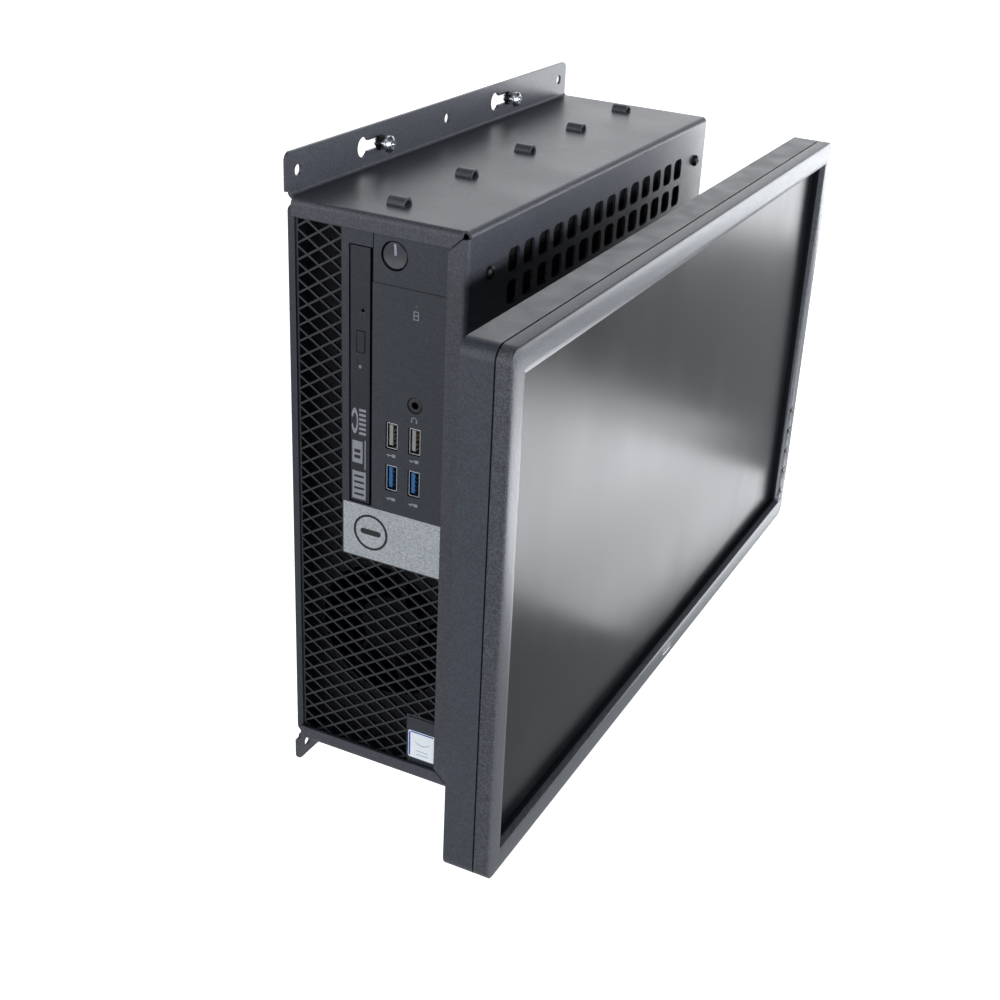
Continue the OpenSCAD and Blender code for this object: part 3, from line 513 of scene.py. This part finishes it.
EXTRA_FINISHES = {
    # Near-black finish for the bezel's inner walls and back: painted shade of the recess.
    "recess_painted_shade": lambda n: dull_black(n, (0.003, 0.0035, 0.006)),
    "print_grey": lambda n: gloss_plastic(n, (0.25, 0.26, 0.29), 0.45),
    "print_blue": lambda n: gloss_plastic(n, (0.05, 0.12, 0.42), 0.3),
    "print_pale": lambda n: gloss_plastic(n, (0.45, 0.55, 0.72), 0.35),
    "badge_satin": lambda n: plated_metal(n, (0.26, 0.27, 0.29), 0.34),
    "contact_gold": lambda n: plated_metal(n, (0.68, 0.50, 0.20), 0.22),
    "smoked_clear": lambda n: gloss_plastic(n, (0.05, 0.055, 0.06), 0.2),
}
made = {}


def finish_for(name):
    """The material of that name, made on first use."""
    if name not in made:
        made[name] = {**FINISHES, **EXTRA_FINISHES}[name](name)
    return made[name]


# ---- building pieces ----

def piece(name, body, slot, mesh, *finishes):
    """Puts a mesh into the scene, on a body, in the finish of a slot or in other finishes."""
    obj = bpy.data.objects.new(name, mesh)
    scene.collection.objects.link(obj)
    for finish in finishes or (slot,):
        mesh.materials.append(finish_for(finish))
    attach(obj, body)
    return obj


def mesh_of(name, bm, smooth_below=35):
    """Turns a bmesh into a mesh that shades smooth except over sharp edges, and frees it."""
    bmesh.ops.recalc_face_normals(bm, faces=bm.faces)
    mesh = bpy.data.meshes.new(name)
    bm.to_mesh(mesh)
    bm.free()
    mesh.polygons.foreach_set("use_smooth", [True] * len(mesh.polygons))
    mesh.set_sharp_from_angle(angle=math.radians(smooth_below))
    return mesh


def soften(part, width=0.25, angle=35):
    """Small rounded edges with clean shading, as modifiers."""
    weld = part.modifiers.new("weld", "WELD")
    weld.merge_threshold = 0.002 * MM
    bevel = part.modifiers.new("bevel", "BEVEL")
    bevel.width = width * MM
    bevel.segments = 2
    bevel.limit_method = "ANGLE"
    bevel.angle_limit = math.radians(angle)
    bevel.harden_normals = False
    shade = part.modifiers.new("shade", "WEIGHTED_NORMAL")
    shade.weight = 80
    shade.keep_sharp = False


# Edge rounding of the nodes that need a finer one than the rest, in millimetres
EDGES = {"usb_shells": 0.06, "emblem_ring": 0.03, "info_label": 0.03, "silver_band": 0.12,
         "rear_io_plate": 0.1, "rear_ports": 0.15, "power_light_pipe": 0.1, "keyhole_collars": 0.15}


def dress_nodes():
    """Gives each CAD node the finish of its slot and rounded edges."""
    for name, part in nodes.items():
        part.data.materials.clear()
        part.data.materials.append(finish_for(slot_of[name]))
        soften(part, EDGES.get(name, 0.25))
    nodes["activity_light"].data.materials[0] = finish_for("smoked_clear")


def rounded_loop(half_w, half_h, radius, steps=8):
    """Corner by corner, the points of a rectangle with round corners."""
    points = []
    for corner, (i, k) in enumerate([(1, 1), (-1, 1), (-1, -1), (1, -1)]):
        for step in range(steps + 1):
            a = math.radians(90 * (corner + step / steps))
            points.append((i * (half_w - radius) + radius * math.cos(a),
                           k * (half_h - radius) + radius * math.sin(a)))
    return points


def closed_loft(bm, rings):
    """Skins a row of rings of the same count, and joins the last to the first."""
    made_rings = [[bm.verts.new(p) for p in ring] for ring in rings]
    count = len(rings[0])
    faces = []
    for one, two in zip(made_rings, made_rings[1:] + made_rings[:1]):
        faces.append([bm.faces.new((one[i], one[(i + 1) % count], two[(i + 1) % count], two[i]))
                      for i in range(count)])
    return faces


def rod(bm, at, axis, radius, length, steps=32):
    """Adds a closed cylinder that starts at a point and runs along an axis."""
    turn = Vector(axis).to_track_quat("Z", "Y").to_matrix().to_4x4()
    made_rod = bmesh.ops.create_cone(bm, cap_ends=True, segments=steps, radius1=radius * MM,
                                     radius2=radius * MM, depth=length * MM)
    middle = (Vector(at) + Vector(axis) * length / 2) * MM
    bmesh.ops.transform(bm, matrix=turn, verts=made_rod["verts"])
    bmesh.ops.translate(bm, vec=middle, verts=made_rod["verts"])


def cut_away(obj, bm):
    """Cuts the shape in bm out of an object, for good."""
    tool_mesh = mesh_of("cutter", bm)
    tool = bpy.data.objects.new("cutter", tool_mesh)
    scene.collection.objects.link(tool)
    cut = obj.modifiers.new("cut", "BOOLEAN")
    cut.object = tool
    cut.solver = "EXACT"
    shapes = bpy.context.evaluated_depsgraph_get()
    finished = bpy.data.meshes.new_from_object(obj.evaluated_get(shapes))
    obj.modifiers.clear()
    obj.data = finished
    bpy.data.objects.remove(tool)


# ---- monitor ----

MONITOR_HALF = (220.0, 130.0)
OPENING_HALF = (207.5, 116.2)
CONTROL_X = 210.6
CONTROL_TOP = -48.4
CONTROL_PITCH = 14.9
CONTROLS = 5
BUTTON_HOLE_R = 2.3
BUTTON_HOLE_DEEP = 6.5
LAMP_HOLE_R = 0.75
LAMP_HOLE_DEEP = 5
LAMP_BELOW = 5.5
HOLES_FROM_Y = -156
BEZEL_CORNER = 7
BADGE_Z = -123.2
BADGE_HALF = (6.5, 2.1)
BADGE_CORNER = 2.0
# Bezel profile: share of the way from the outer edge to the opening, and depth in millimetres
OUTER_PROFILE = [(0, -147), (0, -153.5), (0.012, -153.75), (0.05, -154.0), (0.12, -154.2),
                 (0.25, -154.38), (0.45, -154.48), (0.7, -154.5), (0.88, -154.48)]
CHAMFER_PROFILE = [(0.91, -154.3), (1, -151.4)]
WALL_PROFILE = [(1, -148.22), (0.9, -148.22), (0.9, -150.4), (0.8, -152.4), (0.18, -152.4),
                (0.18, -147)]


def monitor_bezel():
    """Crowned frame with a bright chamfer round the opening; its inner walls and most of its back
    take a near-black finish that is painted shade.
    """
    bm = bmesh.new()
    rings = []
    for share, y in OUTER_PROFILE + CHAMFER_PROFILE + WALL_PROFILE:
        half_w, half_h = [a + (b - a) * share for a, b in zip(MONITOR_HALF, OPENING_HALF)]
        radius = max(0.4, BEZEL_CORNER * (1 - share) - 0.6 * (share > 0))
        rings.append([(x * MM, y * MM, up(z) * MM)
                      for x, z in rounded_loop(half_w, half_h, radius)])
    bands = closed_loft(bm, rings)
    # Inner walls and back take the second finish, the near-black painted shade.
    for band in bands[len(OUTER_PROFILE) + len(CHAMFER_PROFILE) - 1:-1]:
        for face in band:
            face.material_index = 1
    frame_piece = piece("bezel_frame", "root", "bezel_silver", mesh_of("bezel_frame", bm),
                        "bezel_silver", "recess_painted_shade")
    holes = bmesh.new()
    for i in range(CONTROLS):
        z = CONTROL_TOP - i * CONTROL_PITCH
        rod(holes, (CONTROL_X, HOLES_FROM_Y, up(z)), (0, 1, 0), BUTTON_HOLE_R, BUTTON_HOLE_DEEP)
    lamp_z = CONTROL_TOP - (CONTROLS - 1) * CONTROL_PITCH - LAMP_BELOW
    rod(holes, (CONTROL_X, HOLES_FROM_Y, up(lamp_z)), (0, 1, 0), LAMP_HOLE_R, LAMP_HOLE_DEEP)
    cut_away(frame_piece, holes)
    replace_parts(frame_piece, "monitor_bezel")


def monitor_badge():
    """Small plain oval badge at the bottom of the bezel."""
    bm = bmesh.new()
    rings = []
    for grow, y in [(0, -154.3), (0, -154.58), (-0.35, -154.66), (-1.1, -154.62), (-1.3, -154.5)]:
        loop = rounded_loop(BADGE_HALF[0] + grow, BADGE_HALF[1] + grow, BADGE_CORNER + grow)
        rings.append([(x * MM, y * MM, up(z + BADGE_Z) * MM) for x, z in loop])
    closed_loft(bm, rings)
    piece("monitor_badge", "root", "menu_plastic", mesh_of("monitor_badge", bm), "badge_satin")


# ---- front of the computer ----

POWER_AT = (-57.0, 130.3)
POWER_R = 6.2
DISH = 0.8


def dish_x(r):
    """Depth of the power button's shallow dish at a radius, with a rounded rim."""
    rim = max(0.0, r - (POWER_R - 0.5)) / 0.5
    return FRONT_X + 0.2 + DISH * (1 - (r / POWER_R) ** 2) + 0.4 * rim ** 2


def power_button():
    """Round cap with a shallow dish, a wider foot behind the front and a stem to the switch."""
    bm = bmesh.new()
    steps, rings = 64, 14
    turn = [2 * math.pi * i / steps for i in range(steps)]
    profile = [(POWER_R * j / rings, dish_x(POWER_R * j / rings)) for j in range(1, rings + 1)]
    profile += [(POWER_R, FRONT_X + 3.6), (POWER_R + 0.5, FRONT_X + 3.6),
                (POWER_R + 0.5, FRONT_X + 4.6), (2, FRONT_X + 4.6), (2, FRONT_X + 5.7)]
    loops = [[bm.verts.new((x * MM, (POWER_AT[0] + r * math.cos(a)) * MM,
                            up(POWER_AT[1] + r * math.sin(a)) * MM)) for a in turn]
             for r, x in profile]
    for one, two in zip(loops, loops[1:]):
        for i in range(steps):
            bm.faces.new((one[i], one[(i + 1) % steps], two[(i + 1) % steps], two[i]))
    for loop in (loops[0], loops[-1]):
        bm.faces.new(loop)
    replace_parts(piece("power_cap", "power_button", "button_plastic", mesh_of("power_cap", bm)),
                "power_button")


def power_light_pipe():
    """Narrow window that follows the button's dish."""
    bm = bmesh.new()
    half, low, high, steps = 0.6, 0.0, 5.5, 10
    rows = []
    for j in range(steps + 1):
        z = low + (high - low) * j / steps
        front = dish_x(z) - 0.05
        rows.append([bm.verts.new((x * MM, (POWER_AT[0] + y) * MM, up(POWER_AT[1] + z) * MM))
                     for x, y in ((front, half), (front, -half),
                                  (front + 1, -half), (front + 1, half))])
    for one, two in zip(rows, rows[1:]):
        for i in range(4):
            bm.faces.new((one[i], one[(i + 1) % 4], two[(i + 1) % 4], two[i]))
    for row in (rows[0], rows[-1]):
        bm.faces.new(row)
    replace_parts(piece("power_window", "power_button", "light_pipe", mesh_of("power_window", bm)),
                "power_light_pipe")


def slab(bm, x, thick, y0, y1, z0, z1):
    """A thin box on the front, between two corners in the (Y, Z) plane."""
    corners = [(y0, z0), (y1, z0), (y1, z1), (y0, z1)]
    rings = [[bm.verts.new((d * MM, y * MM, up(z) * MM)) for y, z in corners]
             for d in (x, x - thick)]
    for i in range(4):
        bm.faces.new((rings[0][i], rings[0][(i + 1) % 4], rings[1][(i + 1) % 4], rings[1][i]))
    for ring in rings:
        bm.faces.new(ring)


def arc(bm, x, thick, centre, radius, width, start, end, stretch=1.0, steps=20):
    """A curved stroke on the front, from one angle to another."""
    rows = []
    for j in range(steps + 1):
        a = math.radians(start + (end - start) * j / steps)
        row = []
        for d, r in ((x, radius + width / 2), (x, radius - width / 2),
                     (x - thick, radius - width / 2), (x - thick, radius + width / 2)):
            row.append(bm.verts.new((d * MM, (centre[0] + r * math.cos(a)) * MM,
                                     up(centre[1] + stretch * r * math.sin(a)) * MM)))
        rows.append(row)
    for one, two in zip(rows, rows[1:]):
        for i in range(4):
            bm.faces.new((one[i], one[(i + 1) % 4], two[(i + 1) % 4], two[i]))
    for row in (rows[0], rows[-1]):
        bm.faces.new(row)


PRINT = 0.03
FACE_PRINT_X = FRONT_X + 0.005
DRIVE_PRINT_X = FRONT_X + 0.205
DISK_MARK_AT = (-68.7, 104.6)
HEADSET_MARK_AT = (-68.6, 53.4)
SOCKET_MARK_Y = (-56.5, -68.9)
SOCKET_MARK_Z = (32.4, 9.4)
EMBLEM_AT = (-45.4, -12.0)
EMBLEM_REACH = 4.2
CONTACT_Y = (-56.7, -69.0)
CONTACT_PITCH = 2.3


def disk_mark():
    """Outlined drum below the activity light."""
    bm = bmesh.new()
    y, z = DISK_MARK_AT
    half_w, half_h, line = 1.35, 2.1, 0.4
    for i in (-1, 1):
        slab(bm, FACE_PRINT_X, PRINT, y + i * half_w, y + i * (half_w - line),
             z - half_h, z + half_h)
    for k in (-half_h, -0.1, half_h - line):
        slab(bm, FACE_PRINT_X, PRINT, y - half_w + line, y + half_w - line, z + k, z + k + line)
    piece("disk_mark", "root", "label_print", mesh_of("disk_mark", bm), "print_grey")


def headset_mark():
    """A headband and two ear pads below the headset socket."""
    bm = bmesh.new()
    centre = HEADSET_MARK_AT
    arc(bm, FACE_PRINT_X, PRINT, centre, 1.3, 0.4, -10, 190)
    for i in (-1, 1):
        slab(bm, FACE_PRINT_X, PRINT, centre[0] + i * 0.95, centre[0] + i * 1.65,
             centre[1] - 1.3, centre[1] + 0.1)
    piece("headset_mark", "root", "label_print", mesh_of("headset_mark", bm), "print_grey")


def socket_marks():
    """Plain plug shapes below the sockets, with a bar more below the fast ones."""
    for row, z in enumerate(SOCKET_MARK_Z):
        for column, y in enumerate(SOCKET_MARK_Y):
            bm = bmesh.new()
            slab(bm, FACE_PRINT_X, PRINT, y - 2.4, y - 0.4, z - 0.8, z + 0.8)
            slab(bm, FACE_PRINT_X, PRINT, y - 0.4, y + 2.6, z - 0.25, z + 0.25)
            slab(bm, FACE_PRINT_X, PRINT, y + 1.1, y + 1.7, z - 0.9, z - 0.25)
            if row:
                slab(bm, FACE_PRINT_X, PRINT, y + 0.2, y + 0.8, z + 0.25, z + 0.9)
            name = "socket_mark_%d%d" % (row, column)
            piece(name, "root", "label_print", mesh_of(name, bm), "print_grey")


def drive_marks():
    """Three plain printed marks on the lower part of the drive bezel."""
    x = DRIVE_PRINT_X
    bm = bmesh.new()
    arc(bm, x, PRINT, (-36.2, 45.6), 1.5, 0.7, 20, 340, 3.6, 28)
    for j in range(6):
        slab(bm, x, PRINT, -38.6, -42.4, 39.0 + j * 2.4, 40.3 + j * 2.4)
    piece("drive_mark_1", "drive_tray", "label_print", mesh_of("drive_mark_1", bm), "print_grey")
    bm = bmesh.new()
    slab(bm, x, PRINT, -34.9, -36.0, 23.8, 35.4)
    slab(bm, x, PRINT, -39.4, -40.6, 23.8, 35.4)
    for z0, z1 in ((23.8, 26.2), (28.0, 29.2), (31.0, 35.4)):
        slab(bm, x, PRINT, -36.0, -39.4, z0, z1)
    slab(bm, x, PRINT, -41.7, -42.3, 21.0, 36.4)
    piece("drive_mark_2", "drive_tray", "label_print", mesh_of("drive_mark_2", bm), "print_grey")
    bm = bmesh.new()
    slab(bm, x, PRINT, -34.9, -35.9, 4.6, 19.6)
    slab(bm, x, PRINT, -41.4, -42.4, 4.6, 19.6)
    for j in range(5):
        slab(bm, x, PRINT, -35.9, -41.4, 4.6 + j * 3.2, 6.6 + j * 3.2)
    piece("drive_mark_3", "drive_tray", "label_print", mesh_of("drive_mark_3", bm), "print_grey")


def emblem_mark():
    """Plain capsule inside the emblem ring."""
    bm = bmesh.new()
    x, thick = FRONT_X + 0.01, 0.12
    y, z = EMBLEM_AT
    slab(bm, x, thick, y - EMBLEM_REACH, y + EMBLEM_REACH, z - 1.5, z + 1.5)
    for i, start in ((1, -90), (-1, 90)):
        arc(bm, x, thick, (y + i * EMBLEM_REACH, z), 0.76, 1.48, start, start + 180)
    piece("emblem_mark", "root", "emblem_dark", mesh_of("emblem_mark", bm))


LABEL_LOW = (-84.5, -136.7)
LABEL_HIGH = (-68.7, -120.1)


def label_prints():
    """Blue edge along the top and one side of the label, and a few pale curved lines."""
    x = FRONT_X + 0.105
    y_low, z_low = LABEL_LOW
    y_high, z_high = LABEL_HIGH
    bm = bmesh.new()
    slab(bm, x, PRINT, y_high - 0.3, y_high - 1.3, z_low + 1, z_high - 1)
    slab(bm, x, PRINT, y_high - 1.3, y_low + 1, z_high - 0.3, z_high - 1.1)
    piece("label_edge", "root", "label_print", mesh_of("label_edge", bm), "print_blue")
    bm = bmesh.new()
    for radius, z in ((4.4, -125.4), (3.2, -126.2)):
        arc(bm, x, PRINT, (-77, z), radius, 0.4, 200, 340, 0.6)
    for j in range(2):
        slab(bm, x, PRINT, -73.4, -80.6, -131.6 - j * 2.2, -132.2 - j * 2.2)
    piece("label_lines", "root", "label_print", mesh_of("label_lines", bm), "print_pale")


def usb_contacts():
    """Four spring contacts on the free side of each socket's tongue."""
    for row, (z, slot) in enumerate(((42.4, "tongue_white"), (20.4, "tongue_blue"))):
        bm = bmesh.new()
        for y in CONTACT_Y:
            for j in range(4):
                z_low = z - 4.1 + j * CONTACT_PITCH
                slab(bm, FRONT_X + 12, 10.4, y + 0.1, y - 0.06, z_low, z_low + 1.1)
        name = "usb_contacts_%d" % row
        piece(name, "root", "port_metal", mesh_of(name, bm), "contact_gold")


add_camera()
add_floor()
add_lights()
dress_nodes()
monitor_bezel()
monitor_badge()
power_button()
power_light_pipe()
disk_mark()
headset_mark()
socket_marks()
drive_marks()
emblem_mark()
label_prints()
usb_contacts()
